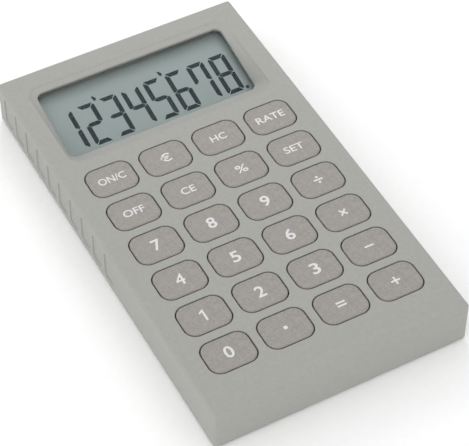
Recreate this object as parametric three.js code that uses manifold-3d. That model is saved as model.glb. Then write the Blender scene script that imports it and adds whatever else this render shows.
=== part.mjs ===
// Pocket calculator: a flat slab case, twenty-four keys, a sunken tilted display and a screwed rear cover.
// Millimetres. +X is to the right, +Y points away from the user towards the display, +Z is up.
// The origin is the centre of the footprint, on the surface that the feet stand on.

import * as THREE from "three";
import { mergeVertices } from "three/addons/utils/BufferGeometryUtils.js";
import Module from "manifold-3d";

const wasm = await Module();
wasm.setup();

// ---- Driving dimensions ----

const CASE_WIDTH = 75.5;
const CASE_LENGTH = 133.5;
const CASE_HEIGHT = 13.7;
const FOOT_STAND = 0.5; // how far the feet lift the case off the table
const WALL = 1.8;
const EDGE_ROUND = 0.8;
const CORNER_ROUND = 0.9;
const HAIRLINE = 0.05; // left between pieces that rest on each other
const OVERCUT = 1; // how far a cutter runs past the face that it opens

const BASE_Z = FOOT_STAND;
const TOP_Z = BASE_Z + CASE_HEIGHT;
const CEILING_Z = TOP_Z - WALL; // underside of the top plate

const KEY_PITCH_X = 16.6;
const KEY_PITCH_Y = 13.65;
const KEY_FIELD_Y = -16.35; // centre of the key field
const KEY_HOLE = { width: 14.2, length: 11.15, radius: 3.5 };
const KEY_GAP = 0.35; // between a key and its hole, all round
const KEY_PROUD = 0.15;
const KEY_TRAVEL = 0.9;
const KEY_FLANGE = { overlap: 0.6, thickness: 1.0, clearance: 0.1 };
const KEY_PLUNGER = { width: 6, length: 4.6, radius: 1, height: 1.1 };
const KEY_EDGE = 0.35; // width and height of the slope round a key's top

const RECESS = { halfWidth: 31.95, front: 27.6, back: 60.55, radius: 4 };
const WINDOW = { halfWidth: 29.8, front: 34.15, back: 58, radius: 2.2, frontDepth: 4.75, backDepth: 0.49 };
const BEZEL = 1.1; // wall height of the window opening
const WELL_SKIN = 1.3; // material around the funnel

const PCB = { bottom: 5.8, thickness: 1.0 };
// Right half of the board's outline, from front to back: its corners keep clear of the case screws.
const PCB_RIGHT_SIDE = [
  [28, -63.7],
  [28, -57.8],
  [34.9, -57.8],
  [34.9, 24.6],
  [29.2, 24.6],
  [29.2, 29.8],
];
const MEMBRANE = { thickness: 1.0, width: 69, front: -58.2, back: 25, radius: 1.5 };
const DOME = { baseRadius: 4.2, topRadius: 2.7, clearance: 0.1, sides: 8 };
// `spare` is the height left in the pocket when its dome has collapsed.
const DOME_POCKET = { radius: 3.2, topRadius: 2.1, spare: 0.3 };
const CAPACITOR = { radius: 1.4, length: 6, x: 20.5, behindDoor: -14 };
const CHIP_BLOB_X = -20.5;

const COVER = { gap: 0.3, thickness: 2.0, radius: 0.5 };
const DOOR = { size: 26, thickness: 1.2, gap: 0.3, centreY: 8, radius: 0.8 };
const DOOR_GRIP = { count: 3, width: 12, length: 1, pitch: 2, depth: 0.4, radius: 0.45, offset: -8 };
const NAIL_NOTCH = { width: 9, length: 4, depth: 0.8, radius: 1.8 };
const BAY = { inner: 23.5, wall: 1.2, topGap: 0.4 };
const CELL = { radius: 10, canHeight: 2.6, capRadius: 8.8, capHeight: 0.6, lift: 0.2, edge: 0.3 };
const CONTACT = { width: 5, thickness: 0.25 };
const FOOT = { radius: 4, recess: 0.4, gap: 0.2, edge: 0.2, x: 24, y: 58.5 };

// Screws stand on their heads. `seat` is the height of the face that a head bears on.
const CASE_SCREW = {
  headRadius: 1.6,
  headHeight: 0.9,
  shankRadius: 0.8,
  shankLength: 5.2,
  seat: BASE_Z + 1.1,
};
const PCB_SCREW = { ...CASE_SCREW, shankLength: 4.4, seat: PCB.bottom };
const SCREW_GAP = { head: 0.25, shank: 0.25, pilot: 0.15 }; // between a screw and its holes, all round
const CASE_BOSS = { radius: 2.1, pilotTop: 8 };
const PCB_BOSS = { radius: 2.0, pilotTop: 11 };

const CASE_SCREW_PLACES = [
  [-31, -61],
  [31, -61],
  [-32.5, 28.2],
  [32.5, 28.2],
  [-31.5, 62.1],
  [31.5, 62.1],
];
const PCB_SCREW_PLACES = [
  [-20, -60.5],
  [20, -60.5],
  [-26, 27.2],
  [26, 27.2],
];

const GRIP = { count: 10, width: 5.0, height: 9.2, pitch: 7.3, depth: 0.35, radius: 1.1, back: 62.5 };

const KEY_ROWS = [
  ["on", "euro", "home", "rate"],
  ["off", "clear", "percent", "set"],
  ["7", "8", "9", "divide"],
  ["4", "5", "6", "multiply"],
  ["1", "2", "3", "minus"],
  ["0", "point", "equals", "plus"],
];

// ---- Materials ----

function plain(colour, roughness, metalness = 0) {
  return new THREE.MeshStandardMaterial({ color: colour, roughness, metalness });
}

const caseMaterial = () => plain(0xabaaa5, 0.75);
const keyMaterial = () => plain(0xa69e98, 0.7);
const rubberMaterial = () => plain(0x3a3a3a, 0.9);
const siliconeMaterial = () => plain(0xb9b4ac, 0.8);
const boardMaterial = () => plain(0x1f5a36, 0.5);
const blackPlasticMaterial = () => plain(0x18181a, 0.45);
const whitePlasticMaterial = () => plain(0xd8d8d4, 0.6);
const filmMaterial = () => plain(0x93a2a0, 0.5);
const ribbonMaterial = () => plain(0x8a6a35, 0.5);
const steelMaterial = () => plain(0xb8babc, 0.3, 1);
const clearMaterial = () =>
  new THREE.MeshStandardMaterial({ color: 0xf4f8f8, roughness: 0.05, transparent: true, opacity: 0.2 });

// ---- Shape helpers ----

// A rounded rectangle centred on the origin, wound counter-clockwise.
function roundedRectangle(width, length, radius) {
  const x = width / 2 - radius;
  const y = length / 2 - radius;
  const shape = new THREE.Shape();
  shape.absarc(x, y, radius, 0, Math.PI / 2);
  shape.absarc(-x, y, radius, Math.PI / 2, Math.PI);
  shape.absarc(-x, -y, radius, Math.PI, 1.5 * Math.PI);
  shape.absarc(x, -y, radius, 1.5 * Math.PI, 2 * Math.PI);
  shape.closePath();
  return shape;
}

function polygon(points) {
  return new THREE.Shape(points.map(([x, y]) => new THREE.Vector2(x, y)));
}

function prism(shape, low, high, curveSegments = 2) {
  const depth = high - low;
  const geometry = new THREE.ExtrudeGeometry(shape, { depth, bevelEnabled: false, curveSegments });
  geometry.translate(0, 0, low);
  return geometry;
}

// A prism whose top and bottom edges are rounded, inside the given outline.
function roundedPrism(shape, low, high, round, bevelSegments) {
  const geometry = new THREE.ExtrudeGeometry(shape, {
    depth: high - low - 2 * round,
    bevelEnabled: true,
    bevelThickness: round,
    bevelSize: round,
    bevelOffset: -round,
    bevelSegments,
    curveSegments: 2,
  });
  geometry.translate(0, 0, low + round);
  return geometry;
}

function cylinder(x, y, radius, low, high, segments = 12) {
  const geometry = new THREE.CylinderGeometry(radius, radius, high - low, segments);
  geometry.rotateX(Math.PI / 2);
  geometry.translate(x, y, (low + high) / 2);
  return geometry;
}

// A turned piece about the vertical axis, from [radius, z] points that start and end on the axis.
function turned(profile, segments) {
  const geometry = new THREE.LatheGeometry(
    profile.map(([radius, z]) => new THREE.Vector2(radius, z)),
    segments,
  );
  geometry.rotateX(Math.PI / 2);
  return geometry;
}

// A ring of points round a rounded rectangle: `steps` straight runs for each corner.
function ring(width, length, radius, steps, place) {
  const points = [];
  for (let corner = 0; corner < 4; corner += 1) {
    const sideX = corner === 0 || corner === 3 ? 1 : -1;
    const sideY = corner < 2 ? 1 : -1;
    for (let step = 0; step <= steps; step += 1) {
      const angle = (corner + step / steps) * (Math.PI / 2);
      const x = sideX * (width / 2 - radius) + radius * Math.cos(angle);
      const y = sideY * (length / 2 - radius) + radius * Math.sin(angle);
      points.push(place(x, y));
    }
  }
  return points;
}

// A level ring about the vertical axis, as the keys and their holes are made from.
function levelRing(width, length, radius, z) {
  return ring(width, length, radius, 3, (x, y) => new THREE.Vector3(x, y, z));
}

// A closed solid skinned through convex rings of equal length, listed from the lowest to the highest.
function loft(rings) {
  const count = rings[0].length;
  const positions = rings.flat().flatMap((point) => [point.x, point.y, point.z]);
  const index = [];
  for (let level = 0; level < rings.length - 1; level += 1) {
    for (let i = 0; i < count; i += 1) {
      const a = level * count + i;
      const b = level * count + ((i + 1) % count);
      index.push(a, b, b + count, a, b + count, a + count);
    }
  }
  const last = (rings.length - 1) * count;
  for (let i = 1; i < count - 1; i += 1) {
    index.push(0, i + 1, i);
    index.push(last, last + i, last + i + 1);
  }
  const geometry = new THREE.BufferGeometry();
  geometry.setAttribute("position", new THREE.Float32BufferAttribute(positions, 3));
  geometry.setIndex(index);
  return geometry;
}

// ---- Solids: joining and cutting ----

function solid(geometry) {
  const bare = geometry.clone();
  bare.deleteAttribute("normal");
  bare.deleteAttribute("uv");
  const merged = mergeVertices(bare, 1e-4);
  const mesh = new wasm.Mesh({
    numProp: 3,
    vertProperties: new Float32Array(merged.attributes.position.array),
    triVerts: new Uint32Array(merged.index.array),
  });
  mesh.merge();
  return new wasm.Manifold(mesh);
}

function joined(base, geometries) {
  return geometries.reduce((whole, geometry) => whole.add(solid(geometry)), base);
}

function cut(base, geometries) {
  return geometries.reduce((whole, geometry) => whole.subtract(solid(geometry)), base);
}

function geometryOf(manifold) {
  const mesh = manifold.getMesh();
  const geometry = new THREE.BufferGeometry();
  geometry.setAttribute("position", new THREE.BufferAttribute(new Float32Array(mesh.vertProperties), 3));
  geometry.setIndex(new THREE.BufferAttribute(new Uint32Array(mesh.triVerts), 1));
  geometry.computeVertexNormals();
  return geometry;
}

function piece(name, geometry, material) {
  const mesh = new THREE.Mesh(geometry, material);
  mesh.name = name;
  return mesh;
}

// ---- Places shared by several pieces ----

function keyPlace(row, column) {
  return { x: (column - 1.5) * KEY_PITCH_X, y: KEY_FIELD_Y + (2.5 - row) * KEY_PITCH_Y };
}

function keyPlaces() {
  return KEY_ROWS.flatMap((names, row) => names.map((_, column) => keyPlace(row, column)));
}

const WINDOW_Y = (WINDOW.front + WINDOW.back) / 2;
const WINDOW_Z = TOP_Z - (WINDOW.frontDepth + WINDOW.backDepth) / 2;
const WINDOW_TILT = Math.atan2(WINDOW.frontDepth - WINDOW.backDepth, WINDOW.back - WINDOW.front);
const WINDOW_LENGTH = (WINDOW.back - WINDOW.front) / Math.cos(WINDOW_TILT);
const windowMatrix = new THREE.Matrix4()
  .makeTranslation(0, WINDOW_Y, WINDOW_Z)
  .multiply(new THREE.Matrix4().makeRotationX(WINDOW_TILT));

// A ring parallel to the window plane, `depth` below it and `grow` larger on every side.
function windowRing(grow, depth) {
  return ring(
    2 * (WINDOW.halfWidth + grow),
    WINDOW_LENGTH + 2 * grow,
    WINDOW.radius + grow,
    4,
    (x, y) => new THREE.Vector3(x, y, -depth).applyMatrix4(windowMatrix),
  );
}

// Outline of the pieces stacked under the window, whose centre lies `shift` along the window plane.
const STACK = { width: 64, length: 28.6, shift: -1.1, pocketGap: 0.4, pocketDepth: 4.8 };

// A level ring round the recess outline in the top plate.
function recessRing(grow, z) {
  const y = (RECESS.front + RECESS.back) / 2;
  return ring(
    2 * (RECESS.halfWidth + grow),
    RECESS.back - RECESS.front + 2 * grow,
    RECESS.radius + grow,
    4,
    (x, offset) => new THREE.Vector3(x, y + offset, z),
  );
}

// ---- Upper case ----

function gripBlock(index) {
  const y = GRIP.back - GRIP.width / 2 - index * GRIP.pitch;
  const block = prism(roundedRectangle(GRIP.width, GRIP.height, GRIP.radius), -GRIP.depth, GRIP.depth, 1);
  block.rotateX(Math.PI / 2);
  block.rotateZ(Math.PI / 2);
  block.translate(-CASE_WIDTH / 2, y, (BASE_Z + TOP_Z) / 2);
  return block;
}

function keyHole(place) {
  const level = (z) => levelRing(KEY_HOLE.width, KEY_HOLE.length, KEY_HOLE.radius, z);
  const hole = loft([level(CEILING_Z - OVERCUT), level(TOP_Z + OVERCUT)]);
  hole.translate(place.x, place.y, 0);
  return hole;
}

const COVER_TOP_Z = BASE_Z + COVER.thickness;
const PCB_TOP_Z = PCB.bottom + PCB.thickness;

// Hollow pillars that hang from the top plate: each is an outer cylinder and the pilot hole cut from it.
function bosses(places, boss, low) {
  return places.map(([x, y]) => cylinder(x, y, boss.radius, low + HAIRLINE, CEILING_Z + WALL / 4));
}

function pilots(places, boss, screw, low) {
  return places.map(([x, y]) => cylinder(x, y, screw.shankRadius + SCREW_GAP.pilot, low, boss.pilotTop, 8));
}

function caseBlank() {
  const outline = roundedRectangle(CASE_WIDTH, CASE_LENGTH, CORNER_ROUND);
  const inside = roundedRectangle(CASE_WIDTH - 2 * WALL, CASE_LENGTH - 2 * WALL, CORNER_ROUND / 2);
  const slab = solid(roundedPrism(outline, BASE_Z, TOP_Z, EDGE_ROUND, 2));
  const well = loft([windowRing(1.8, BEZEL), windowRing(2.6, 0), recessRing(WELL_SKIN, TOP_Z - EDGE_ROUND)]);
  return joined(cut(slab, [prism(inside, BASE_Z - OVERCUT, CEILING_Z)]), [
    well,
    ...bosses(CASE_SCREW_PLACES, CASE_BOSS, COVER_TOP_Z),
    ...bosses(PCB_SCREW_PLACES, PCB_BOSS, PCB_TOP_Z),
  ]);
}

function caseGeometry() {
  const funnel = loft([windowRing(0, 0), recessRing(0, TOP_Z), recessRing(0, TOP_Z + OVERCUT)]);
  const opening = loft([windowRing(0, BEZEL + OVERCUT), windowRing(0, -0.01)]);
  const pocket = displayPlate(-STACK.pocketGap, -STACK.pocketDepth, -BEZEL, 1).applyMatrix4(windowMatrix);
  const grips = Array.from({ length: GRIP.count }, (_, index) => gripBlock(index));
  return geometryOf(
    cut(caseBlank(), [
      funnel,
      opening,
      pocket,
      ...keyPlaces().map(keyHole),
      ...pilots(CASE_SCREW_PLACES, CASE_BOSS, CASE_SCREW, BASE_Z),
      ...pilots(PCB_SCREW_PLACES, PCB_BOSS, PCB_SCREW, PCB.bottom),
      ...grips,
    ]),
  );
}

// ---- Keys and keypad membrane ----

const KEY_TOP_Z = TOP_Z + KEY_PROUD;
const FLANGE_TOP_Z = CEILING_Z - KEY_FLANGE.clearance;
const FLANGE_BOTTOM_Z = FLANGE_TOP_Z - KEY_FLANGE.thickness;
const PLUNGER_BOTTOM_Z = FLANGE_BOTTOM_Z - KEY_PLUNGER.height;

function keyGeometry() {
  const capWidth = KEY_HOLE.width - 2 * KEY_GAP;
  const capLength = KEY_HOLE.length - 2 * KEY_GAP;
  const capRadius = KEY_HOLE.radius - KEY_GAP;
  const flange = [
    KEY_HOLE.width + 2 * KEY_FLANGE.overlap,
    KEY_HOLE.length + 2 * KEY_FLANGE.overlap,
    KEY_HOLE.radius + KEY_FLANGE.overlap,
  ];
  const plunger = [KEY_PLUNGER.width, KEY_PLUNGER.length, KEY_PLUNGER.radius];
  return loft([
    levelRing(...plunger, PLUNGER_BOTTOM_Z),
    levelRing(...plunger, FLANGE_BOTTOM_Z),
    levelRing(...flange, FLANGE_BOTTOM_Z),
    levelRing(...flange, FLANGE_TOP_Z),
    levelRing(capWidth, capLength, capRadius, FLANGE_TOP_Z),
    levelRing(capWidth, capLength, capRadius, KEY_TOP_Z - KEY_EDGE),
    levelRing(capWidth - 2 * KEY_EDGE, capLength - 2 * KEY_EDGE, capRadius - KEY_EDGE, KEY_TOP_Z),
  ]);
}

function keys() {
  return KEY_ROWS.flatMap((names, row) =>
    names.map((name, column) => {
      const mesh = piece(`key_${name}`, keyGeometry(), keyMaterial());
      const place = keyPlace(row, column);
      mesh.position.set(place.x, place.y, 0);
      return mesh;
    }),
  );
}

function dome(place) {
  const top = PLUNGER_BOTTOM_Z - DOME.clearance;
  const outside = turned(
    [
      [0, PCB_TOP_Z],
      [DOME.baseRadius, PCB_TOP_Z],
      [DOME.topRadius, top],
      [0, top],
    ],
    DOME.sides,
  );
  outside.translate(place.x, place.y, 0);
  return outside;
}

// The hollow under a dome leaves room for it to collapse by the key's travel.
function domePocket(place) {
  const roof = PCB_TOP_Z + KEY_TRAVEL + DOME_POCKET.spare;
  const pocket = turned(
    [
      [0, PCB_TOP_Z - OVERCUT],
      [DOME_POCKET.radius, PCB_TOP_Z - OVERCUT],
      [DOME_POCKET.radius, PCB_TOP_Z],
      [DOME_POCKET.topRadius, roof],
      [0, roof],
    ],
    DOME.sides,
  );
  pocket.translate(place.x, place.y, 0);
  return pocket;
}

function membraneGeometry() {
  const { width, front, back, radius, thickness } = MEMBRANE;
  const sheet = prism(roundedRectangle(width, back - front, radius), PCB_TOP_Z, PCB_TOP_Z + thickness);
  sheet.translate(0, (back + front) / 2, 0);
  return geometryOf(cut(joined(solid(sheet), keyPlaces().map(dome)), keyPlaces().map(domePocket)));
}

// ---- Circuit board and what is soldered to it ----

const SOLDER_Z = PCB.bottom - HAIRLINE; // where a piece on the board's underside starts

function boardGeometry() {
  const leftSide = PCB_RIGHT_SIDE.map(([x, y]) => [-x, y]).reverse();
  const outline = polygon([...PCB_RIGHT_SIDE, ...leftSide]);
  const radius = PCB_SCREW.shankRadius + SCREW_GAP.shank;
  const low = PCB.bottom - OVERCUT;
  const holes = PCB_SCREW_PLACES.map(([x, y]) => cylinder(x, y, radius, low, PCB_TOP_Z + OVERCUT));
  return geometryOf(cut(solid(prism(outline, PCB.bottom, PCB_TOP_Z)), holes));
}

function chipBlob() {
  const mesh = piece(
    "chip_blob",
    turned(
      [
        [0, -1.4],
        [2.2, -1.25],
        [3.9, -0.8],
        [4.8, 0],
        [0, 0],
      ],
      20,
    ),
    blackPlasticMaterial(),
  );
  mesh.position.set(CHIP_BLOB_X, DOOR.centreY, SOLDER_Z);
  return mesh;
}

function capacitor() {
  const { radius, length, x, behindDoor } = CAPACITOR;
  const geometry = new THREE.CylinderGeometry(radius, radius, length, 16);
  geometry.rotateZ(Math.PI / 2);
  const mesh = piece("capacitor", geometry, blackPlasticMaterial());
  mesh.position.set(x, DOOR.centreY + behindDoor, SOLDER_Z - radius - HAIRLINE);
  return mesh;
}

// A strip that follows an outline in the XZ plane and is `width` wide along Y.
function sideStrip(points, width, centreY) {
  const geometry = prism(polygon(points), -width / 2, width / 2);
  geometry.rotateX(Math.PI / 2);
  geometry.translate(0, centreY, 0);
  return geometry;
}

// The plus spring touches the cell's side and the minus leaf its cap. Both are soldered to the board.
function cellContacts() {
  const { width, thickness } = CONTACT;
  const side = CELL.radius + 0.3;
  const edge = BAY.inner / 2 - 0.15;
  const springLow = CELL_BOTTOM_Z + CELL.canHeight / 2 - 0.3;
  const plus = [
    [side, springLow],
    [side + thickness, springLow],
    [side + thickness, SOLDER_Z - thickness],
    [edge, SOLDER_Z - thickness],
    [edge, SOLDER_Z],
    [side, SOLDER_Z],
  ];
  const leafLow = CELL_TOP_Z + HAIRLINE;
  const minus = [
    [-4, leafLow],
    [2, leafLow],
    [4, SOLDER_Z - thickness],
    [7, SOLDER_Z - thickness],
    [7, SOLDER_Z],
    [3.8, SOLDER_Z],
    [1.8, leafLow + thickness],
    [-4, leafLow + thickness],
  ];
  return [
    piece("cell_contact_plus", sideStrip(plus, width, DOOR.centreY), steelMaterial()),
    piece("cell_contact_minus", sideStrip(minus, width, DOOR.centreY), steelMaterial()),
  ];
}

const CELL_BOTTOM_Z = BASE_Z + DOOR.thickness + CELL.lift;
const CELL_TOP_Z = CELL_BOTTOM_Z + CELL.canHeight + CELL.capHeight;

function coinCell() {
  const can = CELL_BOTTOM_Z + CELL.canHeight;
  const mesh = piece(
    "coin_cell",
    turned(
      [
        [0, CELL_BOTTOM_Z],
        [CELL.radius - CELL.edge, CELL_BOTTOM_Z],
        [CELL.radius, CELL_BOTTOM_Z + CELL.edge],
        [CELL.radius, can],
        [CELL.capRadius, can],
        [CELL.capRadius - CELL.edge, CELL_TOP_Z],
        [0, CELL_TOP_Z],
      ],
      28,
    ),
    steelMaterial(),
  );
  mesh.position.y = DOOR.centreY;
  return mesh;
}

// ---- Display stack, in the window's own tilted frame ----

const LENS = { top: -BEZEL - HAIRLINE, thickness: 0.5, inset: 0.6, radius: 1.5 };
const GLASS = { top: LENS.top - LENS.thickness - HAIRLINE, thickness: 0.55, ledge: 2.4 };
const FILM = { top: GLASS.top - 2 * GLASS.thickness - HAIRLINE, thickness: 0.2, inset: 0.5 };
const DISPLAY_FRAME = { top: FILM.top - FILM.thickness - HAIRLINE, thickness: 1, rail: 4 };

// A plate of the display stack, `inset` smaller than the stack's outline on every side.
function displayPlate(inset, bottom, top, radius = 0.5) {
  const outline = roundedRectangle(STACK.width - 2 * inset, STACK.length - 2 * inset, radius);
  const plate = prism(outline, bottom, top, 1);
  plate.translate(0, STACK.shift, 0);
  return plate;
}

function lcdGeometry() {
  const lower = displayPlate(0, GLASS.top - 2 * GLASS.thickness, GLASS.top - GLASS.thickness);
  const whole = displayPlate(0, GLASS.top - GLASS.thickness - 0.1, GLASS.top);
  const ledge = new THREE.BoxGeometry(2 * STACK.width, 2 * GLASS.ledge, 2 * GLASS.thickness);
  ledge.translate(0, STACK.shift - STACK.length / 2, GLASS.top);
  return geometryOf(joined(solid(lower), [whole]).subtract(solid(ledge)));
}

function displayFrameGeometry() {
  const { rail, top, thickness } = DISPLAY_FRAME;
  const hole = displayPlate(rail, top - thickness - OVERCUT, top + OVERCUT);
  return geometryOf(cut(solid(displayPlate(0, top - thickness, top, 1)), [hole]));
}

function displayStack() {
  const group = new THREE.Group();
  group.position.set(0, WINDOW_Y, WINDOW_Z);
  group.rotation.x = WINDOW_TILT;
  const lens = displayPlate(LENS.inset, LENS.top - LENS.thickness, LENS.top, LENS.radius);
  const film = displayPlate(FILM.inset, FILM.top - FILM.thickness, FILM.top);
  group.add(
    piece("display_lens", lens, clearMaterial()),
    piece("lcd_glass", lcdGeometry(), clearMaterial()),
    piece("lcd_reflector", film, filmMaterial()),
    piece("lcd_frame", displayFrameGeometry(), whitePlasticMaterial()),
  );
  return group;
}

const RIBBON = { width: 42, thickness: 0.25, start: 26, bend: 29.9 };

// The flexible connector runs from the board's back edge up on to the ledge of the lower glass.
function lcdRibbon() {
  const { width, thickness, start, bend } = RIBBON;
  const onLedge = (along, up) => {
    const front = STACK.shift - STACK.length / 2;
    const ledge = GLASS.top - GLASS.thickness + 0.15;
    const point = new THREE.Vector3(0, front + along, ledge + up).applyMatrix4(windowMatrix);
    return [point.y, point.z];
  };
  const low = PCB_TOP_Z + HAIRLINE;
  const outline = [
    [start, low],
    [bend, low],
    onLedge(0.1, 0),
    onLedge(1.9, 0),
    onLedge(1.9, thickness),
    onLedge(0.1, thickness),
    [bend, low + thickness],
    [start, low + thickness],
  ];
  const geometry = prism(polygon(outline), -width / 2, width / 2);
  geometry.rotateX(Math.PI / 2);
  geometry.rotateZ(Math.PI / 2);
  return piece("lcd_ribbon", geometry, ribbonMaterial());
}

// ---- Rear cover, battery door, feet and screws ----

// A square plate about the battery door's centre.
function doorPlate(size, low, high, radius) {
  const plate = prism(roundedRectangle(size, size, radius), low, high);
  plate.translate(0, DOOR.centreY, 0);
  return plate;
}

function nailNotch() {
  const notch = prism(
    roundedRectangle(NAIL_NOTCH.width, NAIL_NOTCH.length, NAIL_NOTCH.radius),
    BASE_Z - OVERCUT,
    BASE_Z + NAIL_NOTCH.depth,
  );
  notch.translate(0, DOOR.centreY - DOOR.size / 2 - NAIL_NOTCH.length / 4, 0);
  return notch;
}

function coverGeometry() {
  const width = CASE_WIDTH - 2 * WALL - 2 * COVER.gap;
  const length = CASE_LENGTH - 2 * WALL - 2 * COVER.gap;
  const under = BASE_Z - OVERCUT;
  const above = COVER_TOP_Z + OVERCUT;
  const footRadius = FOOT.radius + FOOT.gap;
  const headRadius = CASE_SCREW.headRadius + SCREW_GAP.head;
  const shankRadius = CASE_SCREW.shankRadius + SCREW_GAP.shank;
  const feet = FOOT_PLACES.map(([x, y]) => cylinder(x, y, footRadius, under, BASE_Z + FOOT.recess, 20));
  const heads = CASE_SCREW_PLACES.map(([x, y]) => cylinder(x, y, headRadius, under, CASE_SCREW.seat));
  const shanks = CASE_SCREW_PLACES.map(([x, y]) => cylinder(x, y, shankRadius, under, above, 10));
  const plate = solid(prism(roundedRectangle(width, length, COVER.radius), BASE_Z, COVER_TOP_Z));
  const bay = doorPlate(BAY.inner + 2 * BAY.wall, BASE_Z, PCB.bottom - BAY.topGap, BAY.wall);
  return geometryOf(
    cut(joined(plate, [bay]), [
      doorPlate(BAY.inner, under, PCB.bottom + OVERCUT, 1),
      doorPlate(DOOR.size + 2 * DOOR.gap, under, BASE_Z + DOOR.thickness + HAIRLINE, DOOR.radius + DOOR.gap),
      nailNotch(),
      ...feet,
      ...heads,
      ...shanks,
    ]),
  );
}

function batteryDoor() {
  const plate = prism(roundedRectangle(DOOR.size, DOOR.size, DOOR.radius), BASE_Z, BASE_Z + DOOR.thickness);
  const { count, width, length, pitch, depth, radius, offset } = DOOR_GRIP;
  const grooves = Array.from({ length: count }, (_, index) => {
    const groove = prism(roundedRectangle(width, length, radius), BASE_Z - OVERCUT, BASE_Z + depth);
    groove.translate(0, offset + (index - (count - 1) / 2) * pitch, 0);
    return groove;
  });
  const mesh = piece("battery_door", geometryOf(cut(solid(plate), grooves)), caseMaterial());
  mesh.position.y = DOOR.centreY;
  return mesh;
}

const FOOT_PLACES = [
  [-FOOT.x, -FOOT.y],
  [FOOT.x, -FOOT.y],
  [-FOOT.x, FOOT.y],
  [FOOT.x, FOOT.y],
];

function foot([x, y], index) {
  const top = BASE_Z + FOOT.recess - HAIRLINE / 2;
  const profile = [
    [0, 0],
    [FOOT.radius - FOOT.edge, 0],
    [FOOT.radius, FOOT.edge],
    [FOOT.radius, top],
    [0, top],
  ];
  const mesh = piece(`foot_${index + 1}`, turned(profile, 20), rubberMaterial());
  mesh.position.set(x, y, 0);
  return mesh;
}

// A pan-head screw standing on its head, with a cross recess, as one solid about its own axis.
function screwGeometry({ headRadius, headHeight, shankRadius, shankLength }) {
  const edge = headHeight / 3;
  const tip = shankRadius / 2;
  const blank = turned(
    [
      [0, 0],
      [headRadius - edge, 0],
      [headRadius, edge],
      [headRadius, headHeight],
      [shankRadius, headHeight],
      [shankRadius, headHeight + shankLength - tip],
      [0, headHeight + shankLength],
    ],
    10,
  );
  const slot = new THREE.BoxGeometry(headRadius * 1.3, headRadius * 0.3, headHeight);
  const cross = slot.clone();
  cross.rotateZ(Math.PI / 2);
  return geometryOf(cut(solid(blank), [slot, cross]));
}

function screws(name, screw, places) {
  return places.map(([x, y], index) => {
    const mesh = piece(`${name}_${index + 1}`, screwGeometry(screw), steelMaterial());
    mesh.position.set(x, y, screw.seat - HAIRLINE - screw.headHeight);
    return mesh;
  });
}

// ---- Assembly ----

const calculator = new THREE.Group();
calculator.add(
  piece("case_top", caseGeometry(), caseMaterial()),
  ...keys(),
  piece("keypad_membrane", membraneGeometry(), siliconeMaterial()),
  piece("circuit_board", boardGeometry(), boardMaterial()),
  chipBlob(),
  capacitor(),
  ...cellContacts(),
  coinCell(),
  displayStack(),
  lcdRibbon(),
  piece("rear_cover", coverGeometry(), caseMaterial()),
  batteryDoor(),
  ...FOOT_PLACES.map(foot),
  ...screws("case_screw", CASE_SCREW, CASE_SCREW_PLACES),
  ...screws("board_screw", PCB_SCREW, PCB_SCREW_PLACES),
);

export default calculator;
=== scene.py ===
# The looks of the pocket calculator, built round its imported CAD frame: Blender 4.5, metres, +Z up.
import math

import bpy
from mathutils import Matrix, Vector
from mathutils.geometry import delaunay_2d_cdt


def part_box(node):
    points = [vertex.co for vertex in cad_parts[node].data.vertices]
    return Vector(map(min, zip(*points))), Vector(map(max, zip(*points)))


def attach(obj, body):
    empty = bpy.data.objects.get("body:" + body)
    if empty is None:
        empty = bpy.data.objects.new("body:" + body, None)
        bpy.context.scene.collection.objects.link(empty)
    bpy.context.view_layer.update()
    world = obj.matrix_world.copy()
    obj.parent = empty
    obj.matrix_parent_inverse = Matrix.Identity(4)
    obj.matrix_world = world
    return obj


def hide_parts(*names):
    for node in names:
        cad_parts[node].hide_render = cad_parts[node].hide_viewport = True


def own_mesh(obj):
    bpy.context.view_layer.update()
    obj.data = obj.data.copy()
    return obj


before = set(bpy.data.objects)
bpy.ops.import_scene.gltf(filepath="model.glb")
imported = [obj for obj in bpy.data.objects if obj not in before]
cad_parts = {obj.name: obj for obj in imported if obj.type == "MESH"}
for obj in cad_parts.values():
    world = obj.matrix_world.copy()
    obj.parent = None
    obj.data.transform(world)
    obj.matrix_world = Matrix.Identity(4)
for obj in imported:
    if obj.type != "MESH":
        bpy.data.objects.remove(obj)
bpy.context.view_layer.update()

MM = 0.001

# ---- Places that come from the frame ----

case_low, case_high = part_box("case_top")
CASE_WIDTH = case_high.x - case_low.x
CASE_LENGTH = case_high.y - case_low.y
BASE_Z = case_low.z
TOP_Z = case_high.z
KEY_NODES = sorted(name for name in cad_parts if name.startswith("key_"))
FOOT_NODES = sorted(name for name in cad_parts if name.startswith("foot_"))
CASE_SCREW_NODES = sorted(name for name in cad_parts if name.startswith("case_screw_"))
BOARD_SCREW_NODES = sorted(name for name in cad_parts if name.startswith("board_screw_"))

# ---- Driving dimensions that the frame doesn't name ----

WALL = 1.8 * MM
CEILING_Z = TOP_Z - WALL
CORNER_ROUND = 0.9 * MM
TOP_ROUND = 0.85 * MM
BASE_ROUND = 0.5 * MM
INNER_CHAMFER = 0.2 * MM  # inside the wall's lower edge

HOLE_GROW = 0.35 * MM  # a key hole is this much larger than its key on every side
HOLE_ROUND = 0.12 * MM
FLANGE_OVERLAP = 0.95 * MM  # a key's flange past its cap
FLANGE_THICKNESS = 1.0 * MM
FLANGE_DROP = 2.05 * MM  # from a key's top down to its flange
CAP_CORNER = 3.15 * MM
PLUNGER_SIZE = (6 * MM, 4.6 * MM)
PLUNGER_CORNER = 1 * MM
CAP_ROUND = 0.45 * MM

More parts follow.
